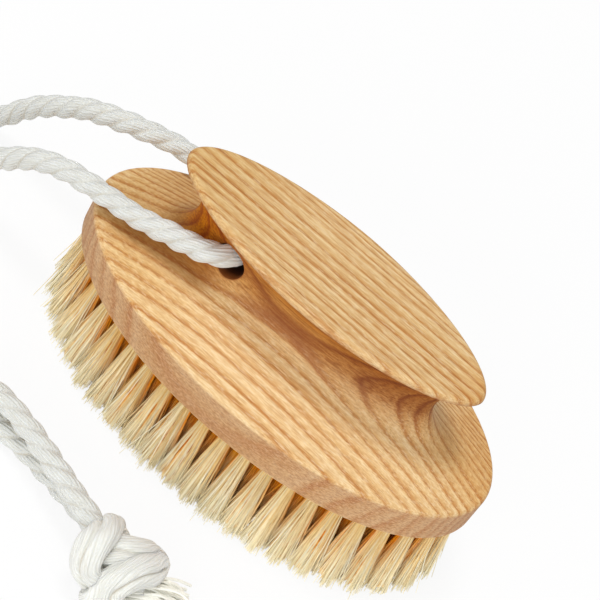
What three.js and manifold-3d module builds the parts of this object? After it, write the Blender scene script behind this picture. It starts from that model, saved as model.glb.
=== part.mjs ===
// A wooden body brush: an oval block with a grip, rings of bristle tufts under it and a rope to hang it by.
// Millimetres, +Z up. The bristle tips stand on z = 0, the block's middle is over the origin,
// +X runs along the block away from the rope, and the rope's bore crosses the neck along Y.

import * as THREE from 'three';
import { mergeVertices } from 'three/addons/utils/BufferGeometryUtils.js';
import Module from 'manifold-3d';

const wasm = await Module();
wasm.setup();

// Block
const BLOCK_LENGTH = 130;
const BLOCK_WIDTH = 66.5;
const BLOCK_HEIGHT = 40.6;
const BAND_HEIGHT = 12;
const EDGE_ROUND = 1.2;

// Grip and the finger groove below it
const GRIP_LENGTH = 97.6;
const GRIP_WIDTH = 35.5;
const GRIP_EXPONENT = 1.87;
const GRIP_RIM = 1.8;
const GRIP_DEPTH = 13.8;
const OVERHANG_END = 9;
const OVERHANG_SIDE = 6.75;
const COVE_RADIUS = 10;
const LIP_TURN = Math.PI / 3;

// Rope and its bore
const ROPE_DIAMETER = 6.4;
const BORE_CLEARANCE = 1.55;
const BORE_FROM_MIDDLE = 23;
const BORE_STRETCH = 12;
const LEAD_LENGTH = 48;
const KNOT_DIAMETER = 9.2;
const KNOT_CORE_DIAMETER = 13.2;
const KNOT_OVERLAP = 1;
const TAIL_DIAMETER = 6;

// Bristles
const BRISTLE_LENGTH = 26;
const ROW_INSET = 4.2;
const ROW_PITCH = 6.3;
const TUFT_PITCH = 6.8;
const TUFT_LEAN = 6;
const ROOT_SPREAD = 1.1;
const TIP_SPREAD = 2.3;
const ROOT_RADIUS = 0.75;
const TIP_RADIUS = 0.5;
const BACKING = 4;
const POCKET_RIM = 1.6;
const JOINT_GAP = 0.3;

// Counts
const FACETS = 64;
const BORE_FACETS = 24;
const EDGE_STEPS = 2;
const COVE_STEPS = 6;
const LIP_STEPS = 5;
const RIM_STEPS = 3;
const ROPE_SIDES = 10;
const STRAND_SIDES = 3;
const LEAD_STEPS = 12;
const RUN_STEPS = 21;
const KNOT_STEPS = 11;
const KNOT_LENGTHS = 3;
const TAIL_STEPS = 3;
const STRANDS_IN_RING = [4, 3, 3, 2];
const STRANDS_IN_LINE = 2;

// The rope's route, from the bore out over the block's end, round on the table and back to the knot
const FRONT_ROUTE = [
  [-23, -6.3, 52.8], [-23, -7.3, 52.8], [-23.8, -9.5, 52.7], [-25.6, -11.3, 52.4], [-28.2, -12.4, 51.8],
  [-33, -12.4, 50.2], [-36.9, -12, 49], [-43.2, -11.6, 47], [-49.3, -11.3, 45.1], [-56.3, -10.6, 43.1],
  [-63.1, -10, 41.4], [-69.8, -9.7, 39.8], [-76.3, -9.2, 37.1], [-82.3, -8.6, 33], [-87.8, -8.2, 27.5],
  [-93.1, -7.7, 21.1], [-98.6, -7.6, 13.8], [-105, -8.6, 7.2], [-112.5, -12, 4], [-119.5, -18.5, 3.4],
  [-123.5, -27.5, 3.4], [-122.5, -37, 3.4], [-116.5, -45.5, 3.4], [-106.5, -52, 3.4], [-94, -55.8, 3.4],
  [-78, -57.6, 3.4], [-60, -58.4, 3.4], [-44, -58.7, 3.4], [-30.7, -59.2, 3.4], [-21, -60.3, 3.6],
  [-12.5, -62, 4.2],
];
const BACK_ROUTE = [
  [-23, 6.3, 52.8], [-23, 7.3, 52.8], [-23.8, 9.6, 52.7], [-25.8, 11.7, 52.4], [-29.2, 13.4, 51.6],
  [-35, 15.3, 49.7], [-41, 17.4, 46.8], [-47.3, 19.5, 43.9], [-52.6, 20.6, 42.5], [-57.8, 20.2, 42.5],
  [-64, 18.7, 41.9], [-70.5, 17.2, 40.7], [-77.4, 16.7, 37.9], [-84.2, 16.8, 34.1], [-90.6, 17.1, 28.7],
  [-97, 17.2, 22.5], [-101.6, 17.4, 16.4], [-105.6, 16.8, 10.2], [-110.4, 14.8, 5.6], [-116, 11.2, 3.6],
  [-122, 6, 3.4], [-127.8, -1, 3.4], [-132, -12, 3.4], [-133.2, -24, 3.4], [-131, -37, 3.4],
  [-125, -48.5, 3.4], [-115, -57.8, 3.4], [-102, -63.4, 3.6], [-88, -65, 5.2], [-74, -63.2, 8.2],
  [-60, -60, 10.2], [-44.6, -58.6, 10.4], [-32.8, -59.9, 10.4], [-21.5, -62.3, 10.6], [-12.3, -64.6, 11.2],
];
const KNOT_ROUTE = [
  [-11.3, -63.6, 7.8], [-4.3, -65.8, 7.8], [2.1, -67.7, 8.4], [7.4, -68, 10.5], [11.8, -66.4, 11.5],
  [14.8, -63.4, 8.8], [14, -62.2, 5], [8.9, -61.9, 4.8], [3.3, -61.5, 5], [-0.2, -60.8, 8], [-2, -64, 12.8],
  [-1.6, -70.6, 16], [-0.2, -76.4, 16.2], [1.1, -79.4, 13], [2.6, -79.2, 8.4], [5.6, -77.6, 5.6],
  [9.8, -76.2, 4.8], [14, -75.6, 4.6],
];
const KNOT_CORES = [[4, -67.5, 8.5], [10.5, -64, 8]];
const TAIL_ROUTES = {
  rope_tail_near: [[14.8, -78.7, 4.4], [16.3, -78.5, 4.3], [20, -79.3, 3.8], [24.4, -82, 3.4]],
  rope_tail_far: [[13.9, -72.4, 4.4], [15.4, -72.2, 4.3], [18.8, -69.9, 3.8], [23, -65.8, 3.4]],
};

// What follows from the sizes
const UNDERSIDE = BRISTLE_LENGTH;
const BAND_TOP = UNDERSIDE + BAND_HEIGHT;
const TOP = UNDERSIDE + BLOCK_HEIGHT;
const LIP = TOP - GRIP_RIM;
const NECK_LEVEL = TOP - GRIP_DEPTH;
const BORE_DIAMETER = ROPE_DIAMETER + 2 * BORE_CLEARANCE;
const ELLIPSE = 2;
const BASE = { length: BLOCK_LENGTH / 2, width: BLOCK_WIDTH / 2, exponent: ELLIPSE };
const GRIP = { length: GRIP_LENGTH / 2, width: GRIP_WIDTH / 2, exponent: GRIP_EXPONENT };
const NECK = { ...GRIP, length: GRIP.length - OVERHANG_END, width: GRIP.width - OVERHANG_SIDE };

const ash = new THREE.MeshStandardMaterial({ color: 0xdca968, roughness: 0.55, metalness: 0 });
const bristle = new THREE.MeshStandardMaterial({ color: 0xe3cf9f, roughness: 0.6, metalness: 0 });
const cotton = new THREE.MeshStandardMaterial({ color: 0xe9e8e2, roughness: 0.9, metalness: 0 });

// Outlines: half sizes and an exponent, where 2 is an ellipse and less is more pointed
function inset(outline, distance) {
  return { ...outline, length: outline.length - distance, width: outline.width - distance };
}

function between(inner, outer, share) {
  const mix = (key) => inner[key] + (outer[key] - inner[key]) * share;
  return { length: mix('length'), width: mix('width'), exponent: mix('exponent') };
}

function outlinePoint(outline, turn) {
  const power = 2 / outline.exponent;
  const along = Math.cos(turn);
  const across = Math.sin(turn);
  return {
    x: outline.length * Math.sign(along) * Math.abs(along) ** power,
    y: outline.width * Math.sign(across) * Math.abs(across) ** power,
  };
}

// Solids to cut and join, and back to geometry
function toSolid(geometry) {
  const bare = geometry.clone();
  bare.deleteAttribute('normal');
  bare.deleteAttribute('uv');
  const merged = mergeVertices(bare, 1e-4);
  const vertProperties = new Float32Array(merged.attributes.position.array);
  const triVerts = new Uint32Array(merged.index.array);
  return new wasm.Manifold(new wasm.Mesh({ numProp: 3, vertProperties, triVerts }));
}

function indexed(positions, triangles) {
  const geometry = new THREE.BufferGeometry();
  geometry.setAttribute('position', new THREE.Float32BufferAttribute(positions, 3));
  geometry.setIndex(triangles);
  geometry.computeVertexNormals();
  return geometry;
}

function toGeometry(solid) {
  const mesh = solid.getMesh();
  return indexed(Array.from(mesh.vertProperties), Array.from(mesh.triVerts));
}

// A closed skin through level rings, from the lowest up. Without poles its last ring meets the first.
function loft(rings, poles) {
  const positions = [];
  const triangles = [];
  for (const ring of rings) {
    for (let k = 0; k < FACETS; k += 1) {
      const point = outlinePoint(ring, (2 * Math.PI * k) / FACETS);
      positions.push(point.x, point.y, ring.z);
    }
  }
  const bands = poles ? rings.length - 1 : rings.length;
  for (let i = 0; i < bands; i += 1) {
    const low = i * FACETS;
    const high = ((i + 1) % rings.length) * FACETS;
    for (let k = 0; k < FACETS; k += 1) {
      const next = (k + 1) % FACETS;
      triangles.push(low + k, low + next, high + next, low + k, high + next, high + k);
    }
  }
  if (poles) {
    const bottom = rings.length * FACETS;
    const top = bottom + 1;
    const last = (rings.length - 1) * FACETS;
    positions.push(0, 0, rings[0].z, 0, 0, rings[rings.length - 1].z);
    for (let k = 0; k < FACETS; k += 1) {
      const next = (k + 1) % FACETS;
      triangles.push(bottom, next, k, last + k, last + next, top);
    }
  }
  return indexed(positions, triangles);
}

// Underside: a shallow pocket for the bristle backing inside a rim, then the upright side band
function undersideRings() {
  const pocket = inset(BASE, POCKET_RIM);
  const roof = UNDERSIDE + BACKING + JOINT_GAP;
  return [
    { ...pocket, z: roof },
    { ...pocket, z: UNDERSIDE },
    { ...inset(BASE, EDGE_ROUND / 2), z: UNDERSIDE },
    { ...BASE, z: UNDERSIDE + EDGE_ROUND / 2 },
  ];
}

// Rounded upper edge of the band, a straight slope, then a round cove up to the neck
function grooveRings() {
  const rings = [];
  for (let i = 0; i < EDGE_STEPS; i += 1) {
    const turn = (Math.PI / 2) * (i / EDGE_STEPS);
    const ring = inset(BASE, EDGE_ROUND * (1 - Math.cos(turn)));
    rings.push({ ...ring, z: BAND_TOP - EDGE_ROUND * (1 - Math.sin(turn)) });
  }
  const shoulder = inset(BASE, EDGE_ROUND);
  rings.push({ ...shoulder, z: BAND_TOP });
  const reach = shoulder.width - NECK.width;
  const rise = NECK_LEVEL - BAND_TOP;
  const toCentre = Math.hypot(reach - COVE_RADIUS, rise);
  const slope = Math.atan2(rise, reach - COVE_RADIUS) - Math.asin(COVE_RADIUS / toCentre);
  for (let i = 0; i <= COVE_STEPS; i += 1) {
    const turn = (Math.PI / 2 - slope) * (1 - i / COVE_STEPS);
    const ring = between(NECK, shoulder, (COVE_RADIUS * (1 - Math.cos(turn))) / reach);
    rings.push({ ...ring, z: NECK_LEVEL - COVE_RADIUS * Math.sin(turn) });
  }
  return rings;
}

// From the neck out to the grip's lip, and its rounded rim up to the flat top
function gripRings() {
  const rings = [];
  for (let i = 1; i <= LIP_STEPS; i += 1) {
    const turn = LIP_TURN * (i / LIP_STEPS);
    const ring = between(NECK, GRIP, (1 - Math.cos(turn)) / (1 - Math.cos(LIP_TURN)));
    rings.push({ ...ring, z: NECK_LEVEL + ((LIP - NECK_LEVEL) * Math.sin(turn)) / Math.sin(LIP_TURN) });
  }
  for (let i = 1; i <= RIM_STEPS; i += 1) {
    const turn = (Math.PI / 2) * (i / RIM_STEPS);
    const ring = inset(GRIP, GRIP_RIM * (1 - Math.cos(turn)));
    rings.push({ ...ring, z: LIP + GRIP_RIM * Math.sin(turn) });
  }
  return rings;
}

function woodenBlock() {
  const turned = toSolid(loft([...undersideRings(), ...grooveRings(), ...gripRings()], true));
  const radius = BORE_DIAMETER / 2;
  const drill = new THREE.CylinderGeometry(radius, radius, GRIP_WIDTH, BORE_FACETS);
  drill.translate(-BORE_FROM_MIDDLE, 0, NECK_LEVEL);
  return toGeometry(turned.subtract(toSolid(drill)));
}

// Tufts set evenly along one ring, each with the way that it leans
function ringTufts(row) {
  const outline = inset(BASE, ROW_INSET + row * ROW_PITCH);
  const lean = TUFT_LEAN * (1 - row / STRANDS_IN_RING.length);
  const path = new THREE.EllipseCurve(0, 0, outline.length, outline.width);
  const count = Math.round(path.getLength() / TUFT_PITCH);
  const tufts = [];
  for (let i = 0; i < count; i += 1) {
    const root = path.getPointAt(i / count);
    const away = new THREE.Vector2(root.x / outline.length ** 2, root.y / outline.width ** 2).normalize();
    tufts.push({ root, tip: root.clone().addScaledVector(away, lean), strands: STRANDS_IN_RING[row] });
  }
  return tufts;
}

// A straight line of tufts inside the innermost ring
function lineTufts() {
  const innermost = inset(BASE, ROW_INSET + (STRANDS_IN_RING.length - 1) * ROW_PITCH);
  const half = innermost.length - ROW_PITCH;
  const gaps = Math.round((2 * half) / ROW_PITCH);
  const tufts = [];
  for (let i = 0; i <= gaps; i += 1) {
    const root = new THREE.Vector2(-half + (2 * half * i) / gaps, 0);
    tufts.push({ root, tip: root, strands: STRANDS_IN_LINE });
  }
  return tufts;
}

// Straight tapered strands from inside the backing to flat tips on the floor
function strands(tufts) {
  const rootLevel = UNDERSIDE + BACKING / 2;
  const positions = [];
  const triangles = [];
  const addRing = (centre, radius, spin, z) => {
    for (let k = 0; k < STRAND_SIDES; k += 1) {
      const turn = spin + (2 * Math.PI * k) / STRAND_SIDES;
      positions.push(centre.x + radius * Math.cos(turn), centre.y + radius * Math.sin(turn), z);
    }
  };
  for (const tuft of tufts) {
    for (let i = 0; i < tuft.strands; i += 1) {
      const spin = Math.atan2(tuft.root.y, tuft.root.x) + (2 * Math.PI * i) / tuft.strands;
      const side = new THREE.Vector2(Math.cos(spin), Math.sin(spin));
      const low = positions.length / 3;
      const high = low + STRAND_SIDES;
      addRing(tuft.tip.clone().addScaledVector(side, TIP_SPREAD), TIP_RADIUS, spin, 0);
      addRing(tuft.root.clone().addScaledVector(side, ROOT_SPREAD), ROOT_RADIUS, spin, rootLevel);
      for (let k = 0; k < STRAND_SIDES; k += 1) {
        const next = (k + 1) % STRAND_SIDES;
        triangles.push(low + k, low + next, high + next, low + k, high + next, high + k);
      }
      for (let k = 1; k < STRAND_SIDES - 1; k += 1) {
        triangles.push(low, low + k + 1, low + k, high, high + k, high + k + 1);
      }
    }
  }
  return indexed(positions, triangles);
}

// A slice of the backing between two outlines, or a whole oval where there is no inner one
function backing(outer, inner) {
  const low = UNDERSIDE;
  const high = UNDERSIDE + BACKING;
  if (!inner) {
    return loft([{ ...outer, z: low }, { ...outer, z: high }], true);
  }
  const rings = [{ ...inner, z: low }, { ...outer, z: low }, { ...outer, z: high }, { ...inner, z: high }];
  return loft(rings, false);
}

function bristleRow(outer, inner, tufts) {
  return toGeometry(toSolid(backing(outer, inner)).add(toSolid(strands(tufts))));
}

function bristleRows() {
  const names = ['tufts_outer_ring', 'tufts_second_ring', 'tufts_third_ring', 'tufts_centre'];
  const last = names.length - 1;
  return names.map((name, row) => {
    const seam = ROW_INSET + (row - 0.5) * ROW_PITCH + JOINT_GAP / 2;
    const outer = inset(BASE, row === 0 ? POCKET_RIM + JOINT_GAP : seam);
    const inner = row === last ? null : inset(BASE, ROW_INSET + (row + 0.5) * ROW_PITCH - JOINT_GAP / 2);
    const tufts = row === last ? [...ringTufts(row), ...lineTufts()] : ringTufts(row);
    return { name, geometry: bristleRow(outer, inner, tufts) };
  });
}

// Part of a longer curve, between two distances along it
class Stretch extends THREE.Curve {
  constructor(curve, from, to) {
    super();
    this.curve = curve;
    this.from = from / curve.getLength();
    this.to = to / curve.getLength();
  }

  getPoint(share, target = new THREE.Vector3()) {
    return this.curve.getPointAt(this.from + (this.to - this.from) * share, target);
  }
}

function curveThrough(route) {
  return new THREE.CatmullRomCurve3(route.map((point) => new THREE.Vector3(...point)), false, 'centripetal');
}

function tube(path, diameter, steps) {
  const corners = [];
  for (let k = 0; k < ROPE_SIDES; k += 1) {
    const turn = (2 * Math.PI * k) / ROPE_SIDES;
    corners.push(new THREE.Vector2(Math.cos(turn), Math.sin(turn)).multiplyScalar(diameter / 2));
  }
  const section = new THREE.Shape(corners);
  return new THREE.ExtrudeGeometry(section, { steps, extrudePath: path, bevelEnabled: false });
}

// Rope inside the bore
function ropeInBore() {
  const ends = [-BORE_STRETCH / 2, BORE_STRETCH / 2];
  const [from, to] = ends.map((y) => new THREE.Vector3(-BORE_FROM_MIDDLE, y, NECK_LEVEL));
  return tube(new THREE.LineCurve3(from, to), ROPE_DIAMETER, 1);
}

// One half of the rope: its lead over the block's end, then its run along the table to the knot
function ropeHalf(route, side) {
  const curve = curveThrough(route);
  const lead = new Stretch(curve, 0, LEAD_LENGTH);
  const run = new Stretch(curve, LEAD_LENGTH + JOINT_GAP, curve.getLength());
  return [
    { name: `rope_${side}_lead`, geometry: tube(lead, ROPE_DIAMETER, LEAD_STEPS) },
    { name: `rope_${side}_run`, geometry: tube(run, ROPE_DIAMETER, RUN_STEPS) },
  ];
}

// Overhand knot in the doubled rope, joined from lengths that overlap a little, round a solid middle
function ropeKnot() {
  const curve = curveThrough(KNOT_ROUTE);
  const part = curve.getLength() / KNOT_LENGTHS;
  const pieces = KNOT_CORES.map((centre) => {
    return new THREE.SphereGeometry(KNOT_CORE_DIAMETER / 2, ROPE_SIDES, ROPE_SIDES / 2).translate(...centre);
  });
  for (let i = 0; i < KNOT_LENGTHS; i += 1) {
    const from = Math.max(0, part * i - KNOT_OVERLAP);
    pieces.push(tube(new Stretch(curve, from, part * (i + 1)), KNOT_DIAMETER, KNOT_STEPS));
  }
  return toGeometry(pieces.map(toSolid).reduce((knot, piece) => knot.add(piece)));
}

function ropeTails() {
  return Object.entries(TAIL_ROUTES).map(([name, route]) => {
    return { name, geometry: tube(curveThrough(route), TAIL_DIAMETER, TAIL_STEPS) };
  });
}

const brush = new THREE.Group();

function place({ name, geometry }, material) {
  const mesh = new THREE.Mesh(geometry, material);
  mesh.name = name;
  brush.add(mesh);
}

place({ name: 'wooden_block', geometry: woodenBlock() }, ash);
bristleRows().forEach((row) => place(row, bristle));
place({ name: 'rope_in_bore', geometry: ropeInBore() }, cotton);
ropeHalf(FRONT_ROUTE, 'front').forEach((stretch) => place(stretch, cotton));
ropeHalf(BACK_ROUTE, 'back').forEach((stretch) => place(stretch, cotton));
place({ name: 'rope_knot', geometry: ropeKnot() }, cotton);
ropeTails().forEach((tail) => place(tail, cotton));

export default brush;
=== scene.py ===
"""A wooden body brush with bristle tufts and a knotted cotton rope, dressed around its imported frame."""

import math

import bpy
import numpy as np
from mathutils import Matrix, Vector


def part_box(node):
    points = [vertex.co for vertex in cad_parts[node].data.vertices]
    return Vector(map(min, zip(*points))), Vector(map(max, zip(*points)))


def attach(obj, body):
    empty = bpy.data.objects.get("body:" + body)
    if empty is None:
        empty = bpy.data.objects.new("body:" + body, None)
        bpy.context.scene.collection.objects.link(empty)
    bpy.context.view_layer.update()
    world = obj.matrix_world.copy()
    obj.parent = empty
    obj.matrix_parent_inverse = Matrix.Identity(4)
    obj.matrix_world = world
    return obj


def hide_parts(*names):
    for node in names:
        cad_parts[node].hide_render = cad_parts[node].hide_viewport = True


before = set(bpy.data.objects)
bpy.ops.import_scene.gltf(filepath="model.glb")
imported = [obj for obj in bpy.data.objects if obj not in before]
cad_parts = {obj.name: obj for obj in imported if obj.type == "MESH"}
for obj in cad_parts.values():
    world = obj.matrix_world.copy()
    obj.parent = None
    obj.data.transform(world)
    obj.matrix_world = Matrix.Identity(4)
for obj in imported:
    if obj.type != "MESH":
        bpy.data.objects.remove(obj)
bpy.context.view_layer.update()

# Sizes are in millimetres, as in the solids, and become metres when a mesh is made.
MM = 0.001
BODY = "root"
draw = np.random.default_rng(7)

# Camera, fitted to the photograph's outlines
CAMERA_EYE = (70.14, -406.89, 481.22)
CAMERA_RIGHT = (0.75012, 0.54075, 0.38067)
CAMERA_UP = (-0.64955, 0.49439, 0.57764)
CAMERA_BACK = (0.12416, -0.68056, 0.7221)
CAMERA_LENS = 139.637
CAMERA_SENSOR = 36.0

# Light, in metres and watts, and the floor
LIGHT_TARGET = (-0.01, -0.01, 0.04)
KEY_LIGHT = {"place": (-0.2, 0.0, 1.18), "size": 0.36, "power": 5.3}
FILL_LIGHT = {"place": (0.06, -1.06, 0.40), "size": 0.8, "power": 5.0}
SKY_STRENGTH = 0.58
FLOOR_HALF = 3000.0
FLOOR_GLOW = 0.88

# Curves: steps between two given points, and a direction that no line starts along
CURVE_STEPS = 32
ASKEW = (0.3, 0.5, 0.8)

# Block, its grip and the finger groove, from the frame and the solids' own sizes
block_low, block_high = (np.array(corner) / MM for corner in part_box("wooden_block"))
UNDERSIDE = block_low[2]
TOP = block_high[2]
BAND_TOP = UNDERSIDE + 12
EDGE_ROUND = 1.6
UNDER_ROUND = 0.9
GRIP_RIM = 1.8
LIP = TOP - GRIP_RIM
NECK_LEVEL = TOP - 13.8
COVE_RADIUS = 10
LIP_TURN = math.pi / 3
BASE = np.array([block_high[0], block_high[1], 2.0])
GRIP = np.array([97.6 / 2, 35.5 / 2, 1.87])
NECK = GRIP - (9, 6.75, 0)
INSET = np.array([1.0, 1.0, 0.0])
FACETS = 192

# Bore for the rope, with a softened mouth
BORE_X = -23
BORE_RADIUS = 4.75
BORE_FLARE = 0.7
BORE_MOUTH = 10.4
MOUTH_LENGTH = 1.4
BORE_SIDES = 64

# Tufts: rings of drilled holes on the underside
ROW_INSET = 4.2
ROW_PITCH = 6.3
TUFT_PITCH = 6.8
TUFT_ROWS = 4
TUFT_LEAN = 3.7
LEAN_LOST_AT_ENDS = (0.9, 0.6)
HOLE_RADIUS = 2.3
HOLE_DEPTH = 10
HOLE_SIDES = 16
ROOT_LEVEL = UNDERSIDE + 1.5

# Bristles, from the outer ring inwards where there are four numbers
BRISTLES_IN_TUFT = (240, 160, 130, 110)
ROOT_SPREADS = (1.35, 2.1, 2.1, 2.1)
TIP_SPREAD = 3.7
CLUMPS = 14
CLUMPING = 0.4
STRAY_SHARE = 0.03
TIP_JITTER = 0.7
STRAY_JITTER = 1.6
STRAIGHT_ROOT = 0.06
BRISTLE_BOW = 0.3
RAGGED_TIPS = 0.9
SHORTEST_LACKS = 4.0
BRISTLE_RADIUS = 0.16
BRISTLE_TAPER = 0.4
BRISTLE_ROWS = 3
BRISTLE_SIDES = 3

# Tone of the bristles, 0 to 1, with painted shade darker in the inner rings and painted light paler on hair
# that faces the outside, and how far hair that faces away from the outside gets painted amber shade
OUTER_TONE = 0.55
INNER_TONE = 0.35
TONE_TOWARDS_LIGHT = 0.3
TONE_VARIES = 0.22
OPEN_FROM = 0.4
SHADE_REACH = 0.6
LEAST_SHADE = 0.04

# Close middles of the tufts: rings at shares of their length, with radii, and where their jagged ends lie
BUNDLE_SIDES = 24
BUNDLE_FLUTE = 0.86
BUNDLE_SHARES = np.array([0.0, 0.3, 0.6, 0.85, 1.0, 0.6])
OUTER_BUNDLE = np.array([1.0, 1.4, 2.1, 2.7, 3.0, 0.4])
INNER_BUNDLE = np.array([1.9, 2.3, 2.6, 2.9, 3.0, 0.4])
BUNDLE_ENDS = (0.6, 4.0)
# Low tones of the middles: painted shade inside the tufts
BUNDLE_TONES = (0.0, 0.5)

# Rope of three strands, with yarns round each strand
ROPE_DIAMETER = 6.4
ROPE_LAY = 19.5
STRAND_RADIUS = 0.62 * ROPE_DIAMETER / 2
STRAND_PLACE = 0.38 * ROPE_DIAMETER / 2
STRAND_SOFTNESS = 0.3
STRAND_YARNS = 13
YARN_TURN = 0.9
YARN_OFFSET = 40.37
GROOVE_DEPTH = 0.28
ROPE_RELIEF = 0.75
ROPE_SWELL = 0.03
ROPE_SIDES = 84
ROPE_STEP = 0.6

BORE_MIDDLE = (-23, 0, 52.8)
FRONT_ROUTE = [
    BORE_MIDDLE, (-23, -6.2, 53.5), (-23.2, -7.2, 53.8), (-24.2, -9.1, 54.2), (-26, -10.8, 53.9),
    (-28.6, -11.8, 53.1), (-33, -11.9, 51.2), (-36.9, -11.6, 49.6), (-43.2, -11.4, 47.2),
    (-49.3, -11.3, 45.1), (-56.3, -10.6, 43.1), (-63.1, -10, 41.4), (-69.8, -9.7, 39.8), (-76.3, -9.2, 37.1),
    (-82.3, -8.6, 33), (-87.8, -8.2, 27.5), (-93.1, -7.7, 21.1), (-98.6, -7.6, 13.8), (-105, -8.6, 7.2),
    (-112.5, -12, 4), (-119.5, -18.5, 3.4), (-123.5, -27.5, 3.4), (-122.5, -37, 3.4), (-116.5, -45.5, 3.4),
    (-106.5, -52, 3.4), (-94, -55.8, 3.4), (-78, -57.6, 3.4), (-60, -58.4, 3.4), (-44, -58.7, 3.4),
    (-30.7, -59.2, 3.4), (-21, -60.3, 3.6), (-12.5, -62, 4.2), (-6, -63.8, 5.2), (0, -65.6, 6.2),
]
BACK_ROUTE = [
    BORE_MIDDLE, (-23, 6.3, 52.8), (-23, 7.3, 52.8), (-23.8, 9.6, 52.7), (-25.8, 11.7, 52.4),
    (-29.2, 13.4, 51.6), (-35, 15.3, 49.7), (-41, 17.4, 46.8), (-47.3, 19.5, 43.9), (-52.6, 20.6, 42.5),
    (-57.8, 20.2, 42.5), (-64, 18.7, 41.9), (-70.5, 17.2, 40.7), (-77.4, 16.7, 37.9), (-84.2, 16.8, 34.1),
    (-90.6, 17.1, 28.7), (-97, 17.2, 22.5), (-101.6, 17.4, 16.4), (-105.6, 16.8, 10.2),
    (-110.4, 14.8, 5.6), (-116, 11.2, 3.6), (-122, 6, 3.4), (-127.8, -1, 3.4), (-132, -12, 3.4),
    (-133.2, -24, 3.4), (-131, -37, 3.4), (-125, -48.5, 3.4), (-115, -57.8, 3.4), (-102, -63.4, 3.6),
    (-88, -64.5, 5.2), (-74, -62.2, 8.2), (-60, -58.7, 10.2), (-44.6, -57.1, 10.4), (-32.8, -59, 10.4),
    (-21.5, -62.3, 10.6), (-12.3, -65.5, 11.2), (-6, -67.4, 11.2), (0, -68.9, 10.6),
]

# Knot: the opened, doubled rope, its way through the knot from under the collar, and the two frayed tails
KNOT_HALF_WIDTH = 4.7
KNOT_HALF_THICKNESS = 3.3
KNOT_LAY = 70.0
KNOT_LOBES = 5
LOBE_RELIEF = 0.10
LOBE_SHAPE = 0.6
KNOT_YARNS = 27
KNOT_PARTING = 0.3
PARTING_WIDTH = 0.14
PARTING_WANDER = 0.2
KNOT_MIDDLE = (6, -68, 6)
KNOT_ROUTE = [
    (-3, -69, 9.5), (2.8, -71.6, 12.4), (5.9, -69.8, 13.1), (9.2, -67.3, 12.5), (12, -64, 10.5),
    (14, -62.5, 9.2), (14.2, -65.9, 10.4), (12.4, -70.6, 12.2), (11, -74.4, 11.7), (10, -77.2, 9.2),
    (10.6, -79.4, 6), (9.2, -79, 3), (7.5, -73, 2.8), (4.5, -66, 2.8), (1.5, -62.7, 3.4),
    (-0.2, -63.3, 6.3), (-1.2, -65.9, 11.2), (-0.2, -70.9, 15.4), (0.2, -75.4, 16.2), (0.9, -78.1, 14),
    (2, -78.6, 10.5), (4.3, -77.6, 7), (6.8, -75.7, 4.5), (9.7, -73.3, 3.5), (12.8, -71.1, 3.2),
    (15.4, -69.2, 3),
]
TAIL_NEAR = [(12.5, -77, 6), (16, -78.2, 5), (20.5, -79.8, 3.6), (25.4, -81.8, 1.8)]
TAIL_FAR = [(11.5, -73, 5), (15, -69.4, 5), (18.5, -66, 4.2), (21.7, -63.6, 3), (25, -62, 1.6)]
LOOSE_STRAND = [
    (13.8, -66, 3), (15.4, -64.1, 3.4), (17.1, -62.5, 4), (18.8, -61.5, 4.5), (20.5, -60.3, 4),
    (22.5, -59.8, 3), (24.8, -59.9, 2), (26.8, -60.2, 1.2),
]
LOOSE_RADIUS = 0.8
TAIL_YARNS = 100
TAIL_RADIUS = 3.0
TAIL_STEP = 1.0
YARN_RADIUS = 0.38
YARN_SIDES = 6
YARN_FAN = 0.9
YARN_SWAY = 0.9
YARN_LENGTHS = (0.72, 1.05)


def unit(vectors):
    return vectors / np.linalg.norm(vectors, axis=-1, keepdims=True)


# Curves through given points
def segment(before, start, end, after, share):
    """Centripetal curve between start and end, shaped by the points on either side."""
    gaps = [np.linalg.norm(b - a) ** 0.5 for a, b in ((before, start), (start, end), (end, after))]
    leave = (start - before) / gaps[0] - (end - before) / (gaps[0] + gaps[1]) + (end - start) / gaps[1]
    arrive = (end - start) / gaps[1] - (after - start) / (gaps[1] + gaps[2]) + (after - end) / gaps[2]
    leave, arrive = leave * gaps[1], arrive * gaps[1]
    square, cube = share**2, share**3
    return (
        (2 * cube - 3 * square + 1) * start
        + (cube - 2 * square + share) * leave
        + (3 * square - 2 * cube) * end
        + (cube - square) * arrive
    )


def distances(line):
    return np.concatenate([[0], np.cumsum(np.linalg.norm(np.diff(line, axis=0), axis=1))])


def even_rows(line, rows):
    """The same line with a number of points spread evenly along it."""
    along = distances(line)
    stops = np.linspace(0, along[-1], rows)
    return np.column_stack([np.interp(stops, along, line[:, axis]) for axis in range(3)])


def curve_through(route, step):
    points = np.array(route, float)
    points = np.vstack([2 * points[0] - points[1], points, 2 * points[-1] - points[-2]])
    share = np.linspace(0, 1, CURVE_STEPS, endpoint=False)[:, None]
    spans = [segment(*points[i : i + 4], share) for i in range(len(points) - 3)]
    line = np.vstack([*spans, points[-2:-1]])
    return even_rows(line, round(distances(line)[-1] / step) + 1)


def steady_frames(line):
    """Two directions across the line at each point, carried along it without twisting."""
    ahead = unit(np.gradient(line, axis=0))
    side = np.empty_like(line)
    side[0] = unit(np.cross(ahead[0], ASKEW))
    for i in range(1, len(line)):
        side[i] = unit(side[i - 1] - ahead[i] * side[i - 1].dot(ahead[i]))
    return side, np.cross(ahead, side)


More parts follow.
